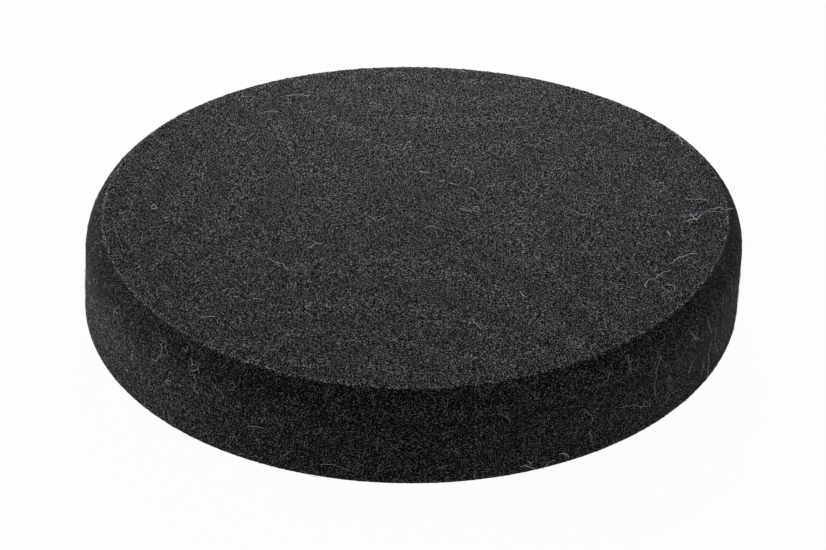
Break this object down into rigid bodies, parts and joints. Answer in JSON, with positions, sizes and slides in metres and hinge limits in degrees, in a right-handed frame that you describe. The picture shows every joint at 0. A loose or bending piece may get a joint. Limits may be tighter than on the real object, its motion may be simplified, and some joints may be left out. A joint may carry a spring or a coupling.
{
  "type": "polishing pad",
  "caption": "Flat round foam polishing pad with a rounded shoulder and a fabric loop backing that a machine polisher's grip plate holds.",
  "frame": {"origin": "centre of the underside of the loop pile, where the pad's axis meets the grip plate", "axes": "+Z along the pad's axis, from the loop backing up to the working face; +X and +Y lie in the backing and are free, because the pad is round"},
  "size_m": [0.1498, 0.1498, 0.025],
  "materials": {
    "foam": "black flexible open-cell polyurethane foam, ground flat on the working face",
    "bonding_film": "thin grey-black hot-melt film",
    "ground_cloth": "black warp-knitted polyester cloth",
    "pile": "black nylon loop pile"
  },
  "bodies": {
    "root": {"foam_disc": "foam", "adhesive_film": "bonding_film", "loop_ground_cloth": "ground_cloth", "loop_pile": "pile"}
  },
  "joints": []
}
